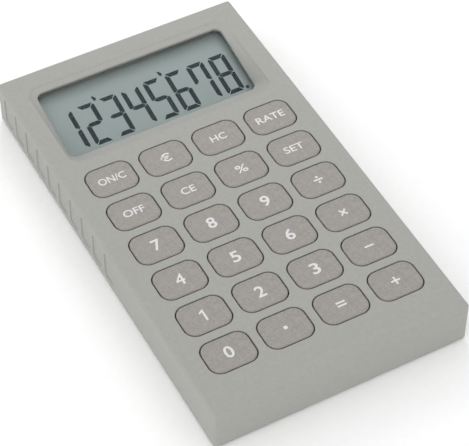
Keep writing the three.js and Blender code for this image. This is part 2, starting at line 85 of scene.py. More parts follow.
RECESS_HALF_WIDTH = 31.95 * MM
RECESS_FRONT = 27.6 * MM
RECESS_BACK = 60.55 * MM
RECESS_CORNER = 4 * MM
RECESS_LIP = 0.3 * MM  # softening of the recess's outer edge
WINDOW_HALF_WIDTH = 29.8 * MM
WINDOW_FRONT = 34.15 * MM
WINDOW_BACK = 58 * MM
WINDOW_FRONT_DEPTH = 4.75 * MM
WINDOW_BACK_DEPTH = 0.49 * MM
WINDOW_CORNER = 2.2 * MM
WINDOW_LIP = 0.12 * MM
BEZEL = 1.1 * MM
WINDOW_SKIN = 2.6 * MM  # material round the window's wall, on the inside
RECESS_SKIN = 1.0 * MM

WINDOW_TILT = math.atan2(WINDOW_FRONT_DEPTH - WINDOW_BACK_DEPTH, WINDOW_BACK - WINDOW_FRONT)
WINDOW_LENGTH = (WINDOW_BACK - WINDOW_FRONT) / math.cos(WINDOW_TILT)
WINDOW_DEPTH = (WINDOW_FRONT_DEPTH + WINDOW_BACK_DEPTH) / 2
WINDOW_CENTRE = Vector((0, (WINDOW_FRONT + WINDOW_BACK) / 2, TOP_Z - WINDOW_DEPTH))
WINDOW_FRAME = Matrix.Translation(WINDOW_CENTRE) @ Matrix.Rotation(WINDOW_TILT, 4, "X")

BOSS_RADIUS = 2.0 * MM
PILOT_RADIUS = 0.95 * MM
BOSS_FOOT = 1.95 * MM  # from a screw's head up to its boss
PILOT_SPARE = 1.2 * MM  # left above a screw's tip

GRIP_COUNT = 10
GRIP_PITCH = 7.3 * MM
GRIP_WIDTH = 5.0 * MM
GRIP_HEIGHT = 9.2 * MM
GRIP_CORNER = 1.1 * MM
GRIP_DEPTH = 0.35 * MM
GRIP_BACK = 62.5 * MM
GRIP_ROUND = 0.18 * MM
GRIP_DRAFT = 0.1 * MM  # how much smaller a block's floor is than its mouth


# ---- Rings of points ----

def rounded_ring(width, length, radius, steps=8, side_steps=1):
    """[(x, y, outward angle)] round a rounded rectangle, anticlockwise, starting at its right side."""
    points = []
    for corner in range(4):
        side_x = 1 if corner in (0, 3) else -1
        side_y = 1 if corner < 2 else -1
        centre_x = side_x * (width / 2 - radius)
        centre_y = side_y * (length / 2 - radius)
        for step in range(steps + 1):
            angle = (corner + step / steps) * math.pi / 2
            points.append((centre_x + radius * math.cos(angle), centre_y + radius * math.sin(angle), angle))
    if side_steps == 1:
        return points
    finer = []
    for index, point in enumerate(points):
        finer.append(point)
        if index % (steps + 1) == steps:
            following = points[(index + 1) % len(points)]
            for step in range(1, side_steps):
                share = step / side_steps
                x = point[0] + (following[0] - point[0]) * share
                y = point[1] + (following[1] - point[1]) * share
                finer.append((x, y, point[2]))
    return finer


def circle_ring(radius, steps=40):
    """[(x, y, outward angle)] round a circle, anticlockwise."""
    angles = [2 * math.pi * step / steps for step in range(steps)]
    return [(radius * math.cos(angle), radius * math.sin(angle), angle) for angle in angles]


def arc(start, stop, steps):
    """Angles in radians from start to stop degrees."""
    return [math.radians(start + (stop - start) * step / steps) for step in range(steps + 1)]


class Skin:
    """A mesh built from rings.

    Each point may carry its own normal, so flat faces stay flat beside rounded edges.
    """

    def __init__(self):
        self.points = []
        self.normals = []
        self.faces = []

    def ring(self, points, normals=None):
        start = len(self.points)
        self.points += [Vector(point) for point in points]
        self.normals += [Vector(normal) for normal in normals] if normals else [None] * len(points)
        return list(range(start, len(self.points)))

    def strip(self, first, second, skip=()):
        count = len(first)
        for i in range(count):
            if i in skip:
                continue
            j = (i + 1) % count
            self.faces.append((first[i], first[j], second[j], second[i]))

    def path(self, rings):
        for first, second in zip(rings, rings[1:]):
            self.strip(first, second)

    def fill(self, outer, holes=(), axes=(0, 1), flip=False):
        """Fills a flat ring, leaving its holes open."""
        used = [index for ring in (outer, *holes) for index in ring]
        flat = [Vector((self.points[index][axes[0]], self.points[index][axes[1]])) for index in used]
        middle = sum(flat, Vector((0, 0))) / len(flat)
        edges = []
        start = 0
        for ring in (outer, *holes):
            edges += [(start + i, start + (i + 1) % len(ring)) for i in range(len(ring))]
            start += len(ring)
        scaled = [(point - middle) * 1000 for point in flat]
        made = delaunay_2d_cdt(scaled, edges, [], 1, 1e-6)
        vertices, triangles, origins = made[0], made[2], made[3]
        hole_outlines = []
        start = len(outer)
        for ring in holes:
            hole_outlines.append(scaled[start : start + len(ring)])
            start += len(ring)
        for triangle in triangles:
            centre = sum((vertices[i] for i in triangle), Vector((0, 0))) / 3
            if any(inside(centre, outline) for outline in hole_outlines):
                continue
            face = [used[origins[i][0]] for i in triangle]
            self.faces.append(tuple(reversed(face)) if flip else tuple(face))

    def build(self, name, matrix=None):
        mesh = bpy.data.meshes.new(name)
        mesh.from_pydata(self.points, [], self.faces)
        mesh.validate()
        for polygon in mesh.polygons:
            polygon.use_smooth = True
        mesh.update()
        own = [vertex.normal.copy() for vertex in mesh.vertices]
        mesh.normals_split_custom_set_from_vertices([given or kept for given, kept in zip(self.normals, own)])
        if matrix is not None:
            mesh.transform(matrix)
        piece = bpy.data.objects.new(name, mesh)
        bpy.context.scene.collection.objects.link(piece)
        return piece


def inside(point, outline):
    """True if a point is inside a closed outline."""
    crossings = False
    for a, b in zip(outline, outline[1:] + outline[:1]):
        if (a.y > point.y) != (b.y > point.y):
            if point.x < a.x + (b.x - a.x) * (point.y - a.y) / (b.y - a.y):
                crossings = not crossings
    return crossings


def profile_rings(skin, outline, profile, centre=(0, 0), side=1):
    """Rings that follow a profile of (inset, height, normal's tilt) round an outline.

    outline(inset) gives the ring's points. side is 1 for an outer wall and -1 for the wall of a hole.
    """
    rings = []
    for inset, height, tilt in profile:
        points = outline(inset)
        places = [(centre[0] + x, centre[1] + y, height) for x, y, _ in points]
        normals = [
            (side * math.cos(angle) * math.cos(tilt), side * math.sin(angle) * math.cos(tilt), math.sin(tilt))
            for _, _, angle in points
        ]
        rings.append(skin.ring(places, normals))
    skin.path(rings)
    return rings


def rectangle_outline(width, length, radius, steps=8, side_steps=1):
    return lambda inset: rounded_ring(
        width - 2 * inset, length - 2 * inset, max(radius - inset, 0.02 * MM), steps, side_steps
    )


def circle_outline(radius, steps=40):
    return lambda inset: circle_ring(radius - inset, steps)


def quarter_turn(radius, centre_z, angles, side=1):
    """Profile points round an edge. side is 1 for an outer edge and -1 for the edge of a hole."""
    return [(side * (radius - radius * math.cos(t)), centre_z + radius * math.sin(t), t) for t in angles]


def top_rounding(radius, height, steps=5):
    """A rounded top edge: up the wall and over on to the flat top."""
    return quarter_turn(radius, height - radius, arc(0, 90, steps))


def bottom_rounding(radius, height, steps=4):
    """A rounded bottom edge: from the flat underside out on to the wall."""
    return quarter_turn(radius, height + radius, arc(-90, 0, steps))


def hole_top_rounding(radius, height, steps=4):
    """A hole's rounded upper edge: from the flat top down into the hole."""
    return quarter_turn(radius, height - radius, arc(90, 0, steps), side=-1)


def hole_bottom_rounding(radius, height, steps=3):
    """The rounded edge of a hole in an underside: from the hole's wall out on to the flat face."""
    return quarter_turn(radius, height + radius, arc(0, -90, steps), side=-1)


# ---- Case ----

def key_centre(node):
    low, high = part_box(node)
    return (low.x + high.x) / 2, (low.y + high.y) / 2


def cap_size(node):
    low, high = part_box(node)
    return high.x - low.x - 2 * FLANGE_OVERLAP, high.y - low.y - 2 * FLANGE_OVERLAP


def recess_points(grow, height):
    middle = (RECESS_FRONT + RECESS_BACK) / 2
    ring = rounded_ring(
        2 * (RECESS_HALF_WIDTH + grow), RECESS_BACK - RECESS_FRONT + 2 * grow, RECESS_CORNER + grow, 10, 12
    )
    return [Vector((x, middle + y, height)) for x, y, _ in ring]


def window_points(grow, depth):
    ring = rounded_ring(
        2 * (WINDOW_HALF_WIDTH + grow), WINDOW_LENGTH + 2 * grow, WINDOW_CORNER + grow, 10, 12
    )
    return [WINDOW_FRAME @ Vector((x, y, -depth)) for x, y, _ in ring]


def bend(starts, corners, ends, steps):
    """Rings that turn smoothly from starts to ends round corners, as a quadratic curve for each point."""
    rings = []
    for step in range(steps + 1):
        t = step / steps
        rings.append(
            [a * (1 - t) ** 2 + b * 2 * t * (1 - t) + c * t ** 2 for a, b, c in zip(starts, corners, ends)]
        )
    return rings


def towards(points, targets, distance):
    return [point + (target - point).normalized() * distance for point, target in zip(points, targets)]


def cove_points(rim, lip, distance, drop):
    """Points on the slope at a distance from the rim, dropped a little below the straight line."""
    return [point - Vector((0, 0, drop)) for point in towards(rim, lip, distance)]


# The slope starts with a shallow cove: distances from the rim and drops below the straight slope.
COVE = ((0.3, 0.10), (0.45, 0.15), (0.7, 0.17), (1.0, 0.15), (1.4, 0.09), (1.8, 0.03), (2.1, 0.0))


def add_display_well(skin):
    """The soft-edged funnel, the window's wall and the skin behind them.

    Returns its rings on the top and the ceiling.
    """
    rim = recess_points(0, TOP_Z)
    lip = window_points(0, 0)
    foot = window_points(0, BEZEL)
    outer = recess_points(RECESS_LIP, TOP_Z)
    start = cove_points(rim, lip, COVE[0][0] * MM, COVE[0][1] * MM)
    rim_curve = bend(outer, rim, start, 5)
    cove = [cove_points(rim, lip, distance * MM, drop * MM) for distance, drop in COVE[1:]]
    lip_curve = bend(towards(lip, rim, WINDOW_LIP), lip, towards(lip, foot, WINDOW_LIP), 4)
    behind = [window_points(WINDOW_SKIN, BEZEL), recess_points(RECESS_SKIN, CEILING_Z)]
    rings = [skin.ring(rim_curve[0], [(0, 0, 1)] * len(rim))]
    rings += [skin.ring(points) for points in (*rim_curve[1:], *cove, *lip_curve, foot, *behind)]
    skin.path(rings)
    return rings[0], rings[-1]


def add_grip_blocks(skin, wall_corners):
    """Fills the left wall between its four corner points and sinks a row of plain blocks into it."""
    wall_x = -CASE_WIDTH / 2
    middle_z = (BASE_Z + TOP_Z) / 2
    holes = []
    for index in range(GRIP_COUNT):
        centre_y = GRIP_BACK - GRIP_WIDTH / 2 - index * GRIP_PITCH
        rings = []
        for t in arc(0, 90, 3):
            inset = GRIP_ROUND * math.sin(t) - GRIP_ROUND
            depth = GRIP_ROUND * (1 - math.cos(t))
            outline = rounded_ring(GRIP_WIDTH - 2 * inset, GRIP_HEIGHT - 2 * inset, GRIP_CORNER - inset, 4)
            points = [(wall_x + depth, centre_y - y, middle_z + z) for y, z, _ in outline]
            rings.append(skin.ring(points, [(-1, 0, 0)] * len(points) if depth == 0 else None))
        outline = rounded_ring(GRIP_WIDTH - GRIP_DRAFT, GRIP_HEIGHT - GRIP_DRAFT, GRIP_CORNER, 4)
        floor = [(wall_x + GRIP_DEPTH, centre_y - y, middle_z + z) for y, z, _ in outline]
        rings.append(skin.ring(floor, [(-1, 0, 0)] * len(floor)))
        skin.path(rings)
        skin.fill(rings[-1], axes=(1, 2), flip=True)
        holes.append(rings[0])
    skin.fill(wall_corners, holes, axes=(1, 2), flip=True)


def add_boss(skin, node):
    """A pillar under the top plate, with a pilot hole for one screw."""
    x, y, low, high = node_centre(node)
    foot = low + BOSS_FOOT
    top = min(high + PILOT_SPARE, CEILING_Z)
    outside = [(0, CEILING_Z, 0), (0, foot, 0), (0, foot, -math.pi / 2)]
    hole = BOSS_RADIUS - PILOT_RADIUS
    inside_wall = [(hole, foot, -math.pi / 2), (hole, foot, math.pi), (hole, top, math.pi)]
    rings = profile_rings(skin, circle_outline(BOSS_RADIUS, 24), outside + inside_wall, (x, y))
    skin.fill(rings[-1])


def build_case():
    skin = Skin()
    steps = 8
    outline = rectangle_outline(CASE_WIDTH, CASE_LENGTH, CORNER_ROUND, steps)
    inner = [
        (WALL, CEILING_Z, math.pi),
        (WALL, BASE_Z + INNER_CHAMFER, math.pi),
        (WALL - INNER_CHAMFER, BASE_Z, -math.pi / 2),
    ]
    outer_low = bottom_rounding(BASE_ROUND, BASE_Z)
    outer_high = top_rounding(TOP_ROUND, TOP_Z, 7)
    low_rings = profile_rings(skin, outline, inner + outer_low)
    high_rings = profile_rings(skin, outline, outer_high)
    # The back left corner's last point. The next one starts the front left corner.
    left = 2 * (steps + 1) - 1
    skin.strip(low_rings[-1], high_rings[0], skip={left})
    corners = [low_rings[-1][left], low_rings[-1][left + 1], high_rings[0][left + 1], high_rings[0][left]]
    add_grip_blocks(skin, corners)
    top_holes, ceiling_holes = [], []
    well_top, well_ceiling = add_display_well(skin)
    top_holes.append(well_top)
    ceiling_holes.append(well_ceiling)
    for node in KEY_NODES:
        width, length = cap_size(node)
        hole = rectangle_outline(width + 2 * HOLE_GROW, length + 2 * HOLE_GROW, CAP_CORNER + HOLE_GROW)
        profile = hole_top_rounding(HOLE_ROUND, TOP_Z) + [(0, CEILING_Z, 0)]
        rings = profile_rings(skin, hole, profile, key_centre(node), side=-1)
        top_holes.append(rings[0])
        ceiling_holes.append(rings[-1])
    for node in CASE_SCREW_NODES + BOARD_SCREW_NODES:
        add_boss(skin, node)
    skin.fill(high_rings[-1], top_holes)
    skin.fill(low_rings[0], ceiling_holes, flip=True)
    return skin.build("case_shell")


# ---- Keys and their legends ----

def keycap_mesh(node):
    """One keycap with its flange and plunger, centred on the origin. Every key has the same one."""
    low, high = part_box(node)
    width, length = cap_size(node)
    cap = rectangle_outline(width, length, CAP_CORNER)
    flange_top = high.z - FLANGE_DROP
    flange_bottom = flange_top - FLANGE_THICKNESS
    flange = [
        (-FLANGE_OVERLAP, flange_bottom, -math.pi / 2),
        (-FLANGE_OVERLAP, flange_bottom, 0),
        (-FLANGE_OVERLAP, flange_top, 0),
        (-FLANGE_OVERLAP, flange_top, math.pi / 2),
        (0, flange_top, math.pi / 2),
        (0, flange_top, 0),
    ]
    skin = Skin()
    rings = profile_rings(skin, cap, flange + top_rounding(CAP_ROUND, high.z, 6))
    skin.fill(rings[-1])
    plunger = rectangle_outline(*PLUNGER_SIZE, PLUNGER_CORNER, 4)
    plunger_sides = [(0, low.z, -math.pi / 2), (0, low.z, 0), (0, flange_bottom, 0)]
    plunger_rings = profile_rings(skin, plunger, plunger_sides)
    skin.fill(plunger_rings[0], flip=True)
    skin.fill(rings[0], [plunger_rings[-1]], flip=True)
    first = skin.build("keycap")
    mesh = first.data
    bpy.data.objects.remove(first)
    return mesh


def build_keycap(node, mesh):
    x, y = key_centre(node)[:2]
    piece = bpy.data.objects.new(node.replace("key_", "keycap_"), mesh)
    piece.location = (x, y, 0)
    bpy.context.scene.collection.objects.link(piece)
    return piece


# ---- Keypad membrane: a silicone sheet with a separate dome under each key ----

SHEET_THICKNESS = 1 * MM
SHEET_CORNER = 1.5 * MM
SHEET_ROUND = 0.15 * MM
DOME_RADIUS = 4.2 * MM
DOME_GAP = 0.08 * MM  # between a dome's foot and the sheet
DOME_SLOPE = 1.5 * MM  # how far a dome draws in from its foot to its top
DOME_ROUND = 0.25 * MM
DOME_POINTS = 32
POCKET_INSET = 1.0 * MM
POCKET_SLOPE = 1.1 * MM
POCKET_DEPTH = 1.2 * MM


def build_membrane_sheet():
    low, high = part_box("keypad_membrane")
    top = low.z + SHEET_THICKNESS
    centre = ((low.x + high.x) / 2, (low.y + high.y) / 2)
    sheet = rectangle_outline(high.x - low.x, high.y - low.y, SHEET_CORNER)
    skin = Skin()
    rings = profile_rings(
        skin, sheet, bottom_rounding(SHEET_ROUND, low.z) + top_rounding(SHEET_ROUND, top), centre
    )
    round_hole = circle_outline(DOME_RADIUS + DOME_GAP, DOME_POINTS)
    hole_tops = []
    hole_bottoms = []
    for node in KEY_NODES:
        profile = hole_top_rounding(SHEET_ROUND, top) + hole_bottom_rounding(SHEET_ROUND, low.z)
        hole = profile_rings(skin, round_hole, profile, key_centre(node), side=-1)
        hole_tops.append(hole[0])
        hole_bottoms.append(hole[-1])
    skin.fill(rings[-1], hole_tops)
    skin.fill(rings[0], hole_bottoms, flip=True)
    return skin.build("membrane_sheet")


def build_dome(node):
    """One hollow dome, wide at its foot, that carries the key above it."""
    low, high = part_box("keypad_membrane")
    shoulder = low.z + SHEET_THICKNESS
    slope = math.atan2(DOME_SLOPE, high.z - shoulder)
    outside = [(0, low.z, -math.pi / 2), (0, low.z, 0), (0, shoulder, slope / 2)]
    for inset, height, tilt in top_rounding(DOME_ROUND, high.z):
        outside.append((DOME_SLOPE + inset, height, tilt))
    inside = [
        (POCKET_INSET + POCKET_SLOPE, low.z + POCKET_DEPTH, -math.pi / 2),
        (POCKET_INSET + POCKET_SLOPE, low.z + POCKET_DEPTH, -slope),
        (POCKET_INSET, low.z, -slope),
        (POCKET_INSET, low.z, -math.pi / 2),
    ]
    skin = Skin()
    round_foot = circle_outline(DOME_RADIUS, DOME_POINTS)
    outer = profile_rings(skin, round_foot, outside, key_centre(node))
    inner = profile_rings(skin, round_foot, inside, key_centre(node), side=-1)
    skin.fill(outer[-1])
    skin.fill(inner[0], flip=True)
    skin.fill(outer[0], [inner[-1]], flip=True)
    return skin.build(node.replace("key_", "dome_"))


def press_dome(piece):
    """Gives the dome its own copy of its mesh; its shape is left as it is."""
    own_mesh(piece)


# Each printed word or digit: its text, height, width and extra stroke weight, in millimetres.
WORD_HEIGHT = 2.45
DIGIT_HEIGHT = 3.8
DIGIT_WIDTH = 2.55
LEGENDS = {
    "on": ("ON/C", WORD_HEIGHT, 8.1, 0.03),
    "euro": ("€", 3.1, 3.2, 0.05),
    "home": ("HC", WORD_HEIGHT, 4.8, 0.03),
    "rate": ("RATE", WORD_HEIGHT, 8.7, 0.03),
    "off": ("OFF", WORD_HEIGHT, 6.3, 0.03),
    "clear": ("CE", WORD_HEIGHT, 4.3, 0.03),
    "percent": ("%", 2.9, 3.4, 0.03),
    "set": ("SET", WORD_HEIGHT, 6.0, 0.03),
    **{digit: (digit, DIGIT_HEIGHT, DIGIT_WIDTH, 0.06) for digit in "023456789"},
}
PRINT_THICKNESS = 0.02 * MM


def text_mesh(name, text, height, width, weight):
    curve = bpy.data.curves.new(name, "FONT")
    curve.body = text
    curve.size = height * MM
    curve.offset = weight * MM
    curve.extrude = PRINT_THICKNESS / 2
    curve.resolution_u = 6
    source = bpy.data.objects.new(name, curve)
    bpy.context.scene.collection.objects.link(source)
    bpy.context.view_layer.update()
    mesh = bpy.data.meshes.new_from_object(source.evaluated_get(bpy.context.evaluated_depsgraph_get()))
    bpy.data.objects.remove(source)
    return fitted(mesh, width * MM, height * MM)


def fitted(mesh, width, height):
    """Centres a flat mesh on its origin and stretches it to a width and a height."""
    xs = [vertex.co.x for vertex in mesh.vertices]
    ys = [vertex.co.y for vertex in mesh.vertices]
    mesh.transform(Matrix.Translation((-(min(xs) + max(xs)) / 2, -(min(ys) + max(ys)) / 2, 0)))
    mesh.transform(Matrix.Diagonal((width / (max(xs) - min(xs)), height / (max(ys) - min(ys)), 1, 1)))
    return mesh


def bar(width, height, centre=(0, 0)):
    corners = ((-1, -1), (1, -1), (1, 1), (-1, 1))
    return [(centre[0] + x * width / 2, centre[1] + y * height / 2) for x, y in corners]


def dot(diameter, centre=(0, 0)):
    return [(centre[0] + x, centre[1] + y) for x, y, _ in circle_ring(diameter / 2, 24)]


def turned_outline(outline, angle):
    c, s = math.cos(angle), math.sin(angle)
    return [(x * c - y * s, x * s + y * c) for x, y in outline]


def plus_outline(size, stroke):
    a, b = size / 2, stroke / 2
    right = [(b, -a), (b, -b), (a, -b), (a, b), (b, b), (b, a)]
    left = [(-b, a), (-b, b), (-a, b), (-a, -b), (-b, -b), (-b, -a)]
    return right + left


def one_outline(height, stroke):
    """The digit 1: a stem with a slanting flag."""
    top, left = height / 2, -stroke / 4
    right = left + stroke
    reach = left - 1.45 * stroke
    return [
        (left, -top),
        (right, -top),
        (right, top),
        (left + 0.3 * stroke, top),
        (reach, top - 1.25 * stroke),
        (reach, top - 2.2 * stroke),
        (left, top - 1.35 * stroke),
    ]


SIGN_SIZE = 2.7
STROKE = 0.55
SIGNS = {
    "divide": [bar(SIGN_SIZE, STROKE), dot(0.8, (0, 1.0)), dot(0.8, (0, -1.0))],
    "multiply": [turned_outline(plus_outline(SIGN_SIZE, STROKE), math.pi / 4)],
    "minus": [bar(SIGN_SIZE, STROKE)],
    "plus": [plus_outline(SIGN_SIZE, STROKE)],
    "equals": [bar(SIGN_SIZE, STROKE, (0, 0.55)), bar(SIGN_SIZE, STROKE, (0, -0.55))],
    "point": [dot(1.2)],
    "1": [one_outline(DIGIT_HEIGHT, 0.58)],
}


def flat_piece(name, outlines, thickness, matrix=None):
    """Thin plates standing on z = 0, one for each outline in millimetres."""
    skin = Skin()
    for outline in outlines:
        low = skin.ring([(x * MM, y * MM, 0) for x, y in outline])
        high = skin.ring([(x * MM, y * MM, thickness) for x, y in outline])
        skin.strip(low, high)
        skin.fill(high)
        skin.fill(low, flip=True)
    piece = skin.build(name, matrix)
    for polygon in piece.data.polygons:
        polygon.use_smooth = False
    return piece


def build_legend(node):
    short = node.removeprefix("key_")
    name = f"legend_{short}"
    key_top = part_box(node)[1].z
    x, y = key_centre(node)
    if short in SIGNS:
        piece = flat_piece(name, SIGNS[short], PRINT_THICKNESS)
        piece.location = (x, y, key_top)
        return piece
    piece = bpy.data.objects.new(name, text_mesh(name, *LEGENDS[short]))
    piece.location = (x, y, key_top + PRINT_THICKNESS / 2)
    bpy.context.scene.collection.objects.link(piece)
    return piece


# ---- Display digits ----

DISPLAY_DEPTH = 2.25 * MM  # below the window's plane, between the two plates of glass
FIGURE_WIDTH = 5.5
FIGURE_HEIGHT = 14.4
FIGURE_PITCH = 7.08
FIRST_FIGURE_RIGHT = -22.2
FIGURE_BOTTOM = -9.8
SEGMENT = 1.4  # width of a segment
SEGMENT_GAP = 0.1  # half the gap between two segments
SEGMENTS = {
    "1": "bc",
    "2": "abged",
    "3": "abgcd",
    "4": "fgbc",
    "5": "afgcd",
    "6": "afgecd",
    "7": "fabc",
    "8": "abcdefg",
}
SHOWN = "12345678"
COMMA_AFTER = (2, 5)  # a thousands mark stands after the second and the fifth digit


def segment_outline(letter):
    """One segment of a digit whose lower left corner is the origin."""
    width, height, thick, gap = FIGURE_WIDTH, FIGURE_HEIGHT, SEGMENT, SEGMENT_GAP
    middle = height / 2
    if letter == "g":
        right = [
            (width - thick - 0.4 * gap, middle - thick / 2),
            (width - gap - 0.35 * thick, middle),
            (width - thick - 0.4 * gap, middle + thick / 2),
        ]
        return right + [(width - x, y) for x, y in reversed(right)]
    if letter in "ad":
        inset = gap + 0.25 * thick
        flat = [(inset, 0), (width - inset, 0), (width - thick - gap, thick), (thick + gap, thick)]
        return flat if letter == "d" else [(x, height - y) for x, y in reversed(flat)]
    upright = [
        (0, height - 0.6 * thick - gap),
        (0.25 * thick, height - 0.25 * thick - gap),
        (thick, height - thick - gap),
        (thick, middle + thick / 2 + gap),
        (0.35 * thick, middle + gap),
        (0, middle + 0.15 * thick + gap),
    ]
    outline = list(reversed(upright))
    if letter in "bc":
        outline = [(width - x, y) for x, y in reversed(outline)]
    if letter in "ec":
        outline = [(x, height - y) for x, y in reversed(outline)]
    return outline


# A thousands mark: a short stroke that leans from upper left to lower right, drawn from its lower end.
THOUSANDS_MARK = ((0.3, 0), (1.1, 0.1), (1.15, 0.8), (0.6, 1.7), (0, 1.7))
THOUSANDS_PLACE = (0.2, 0.05)  # from the top right corner of the digit before it
POINT_SIZE = 1.0
POINT_GAP = 0.4


def build_segments():
    outlines = []
    for index, digit in enumerate(SHOWN):
        left = FIRST_FIGURE_RIGHT + index * FIGURE_PITCH - FIGURE_WIDTH
        for letter in SEGMENTS[digit]:
            outlines.append([(left + x, FIGURE_BOTTOM + y) for x, y in segment_outline(letter)])
        if index + 1 in COMMA_AFTER:
            across = left + FIGURE_WIDTH + THOUSANDS_PLACE[0]
            up = FIGURE_BOTTOM + FIGURE_HEIGHT + THOUSANDS_PLACE[1]
            outlines.append([(across + x, up + y) for x, y in THOUSANDS_MARK])
    right = FIRST_FIGURE_RIGHT + (len(SHOWN) - 1) * FIGURE_PITCH
    point = (right + POINT_GAP + POINT_SIZE / 2, FIGURE_BOTTOM + POINT_SIZE / 2)
    outlines.append(bar(POINT_SIZE, POINT_SIZE, point))
    plane = WINDOW_FRAME @ Matrix.Translation((0, 0, -DISPLAY_DEPTH))
    piece = flat_piece("display_digits", outlines, PRINT_THICKNESS, plane)
    # The digits are a change in the liquid crystal, so they cast nothing on the film behind them.
    piece.visible_shadow = False
    piece.visible_glossy = False
    piece.visible_diffuse = False
    return piece


# ---- Rear cover, battery door, feet, screws and coin cell ----

DOOR_GAP = 0.3 * MM
DOOR_CORNER = 0.8 * MM
BAY_INNER = 23.5 * MM
BAY_WALL = 1.2 * MM
COVER_THICKNESS = 2.0 * MM
NOTCH_WIDTH = 9 * MM
NOTCH_REACH = 2.7 * MM  # past the door's opening
NOTCH_DEPTH = 0.8 * MM
NOTCH_CORNER = 1.8 * MM
SCREW_GAP = 0.25 * MM
SHANK_RADIUS = 0.8 * MM
HEAD_HEIGHT = 0.9 * MM
HEAD_ROUND = 0.35 * MM
SEAT_DEPTH = 1.1 * MM  # of a case screw's counterbore
SEAT_ROUND = 0.15 * MM  # edge of the door's recess
LEDGE_GAP = 0.05 * MM  # between the door and the ledge above it
COVER_CORNER = 0.5 * MM
COVER_ROUND = 0.25 * MM
DOOR_ROUND = 0.2 * MM
BAY_CORNER = 1 * MM
FOOT_RADIUS = 4 * MM
FOOT_GAP = 0.2 * MM
FOOT_ROUND = 0.3 * MM
RECESS_DEPTH = 0.4 * MM  # of the feet's recesses and the door's grooves
RECESS_ROUND = 0.1 * MM
GROOVE_SIZE = (12 * MM, 1 * MM)
GROOVE_CORNER = 0.49 * MM
GROOVE_PITCH = 2
GROOVE_OFFSET = -8  # of the middle groove from the door's centre
THREAD_PITCH = 0.6 * MM
THREAD_DEPTH = 0.12 * MM
THREAD_START = 0.2 * MM
THREAD_SPARE = 0.8 * MM  # plain length round the thread's ends
CROSS_SIZE = (2.0, 0.44)
CROSS_DEPTH = 0.5 * MM
POLE_SIGN_SIZE = (4, 0.7)
POLE_SIGN_DEPTH = 0.12 * MM
SIGN_TAPER = 0.85


def node_centre(node):
    low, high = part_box(node)
    return (low.x + high.x) / 2, (low.y + high.y) / 2, low.z, high.z


def door_opening(half, corner, grow):
    """The battery door's opening with its nail notch, as [(x, y, angle)] and the notch's span."""
    steps = 6
    square_points = rounded_ring(2 * (half + grow), 2 * (half + grow), corner + grow, steps)
    notch_start = 3 * (steps + 1)  # after the front left corner
    before = square_points[:notch_start]
    after = square_points[notch_start:]
    side = NOTCH_WIDTH / 2 + grow
    reach = half + NOTCH_REACH + grow
    radius = NOTCH_CORNER + grow
    notch = [(-side, -half - grow, math.radians(225))]
    for t in arc(180, 270, steps):
        notch.append((-side + radius + radius * math.cos(t), -reach + radius + radius * math.sin(t), t))
    for t in arc(270, 360, steps):
        notch.append((side - radius + radius * math.cos(t), -reach + radius + radius * math.sin(t), t))
    notch.append((side, -half - grow, math.radians(315)))
    return before + notch + after, (len(before), len(before) + len(notch))


def sink(skin, outline, centre, depth, edge, low_z):
    """A flat-bottomed recess in an underside. Returns its ring on the underside."""
    profile = [(0, low_z + depth, -math.pi / 2), (0, low_z + depth, 0)] + hole_bottom_rounding(edge, low_z)
    rings = profile_rings(skin, outline, profile, centre, side=-1)
    skin.fill(rings[0], flip=True)
    return rings[-1]


def add_screw_hole(skin, node, low_z, top_z):
    """A counterbore with a clearance hole. Returns its rings on the underside and on the inside."""
    screw_low, screw_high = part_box(node)
    head = (screw_high.x - screw_low.x) / 2 + SCREW_GAP
    shank = SHANK_RADIUS + SCREW_GAP
    seat = low_z + SEAT_DEPTH
    step = head - shank
    profile = [
        (step, top_z, 0),
        (step, seat, 0),
        (step, seat, -math.pi / 2),
        (0, seat, -math.pi / 2),
        (0, seat, 0),
    ]
    profile += hole_bottom_rounding(HOLE_ROUND, low_z)
    rings = profile_rings(skin, circle_outline(head, 36), profile, node_centre(node)[:2], side=-1)
    return rings[-1], rings[0]


def add_door_seat(skin, half, centre, low_z, ledge_z):
    """The recess for the battery door, with the nail notch. Returns its underside and ledge rings."""
    profile = [(0, low_z + NOTCH_DEPTH)]
    profile += [(inset, height) for inset, height, _ in hole_bottom_rounding(SEAT_ROUND, low_z)]
    rings = []
    for inset, height in profile:
        points, span = door_opening(half, DOOR_CORNER + DOOR_GAP, -inset)
        rings.append(skin.ring([(centre[0] + x, centre[1] + y, height) for x, y, _ in points]))
    skin.path(rings)
    notch = rings[0][span[0] : span[1]]
    skin.fill(notch, flip=True)
    seat = rings[0][: span[0] + 1] + rings[0][span[1] - 1 :]
    ledge = skin.ring([(*skin.points[index][:2], ledge_z) for index in seat])
    skin.strip(ledge, seat)
    return rings[-1], ledge


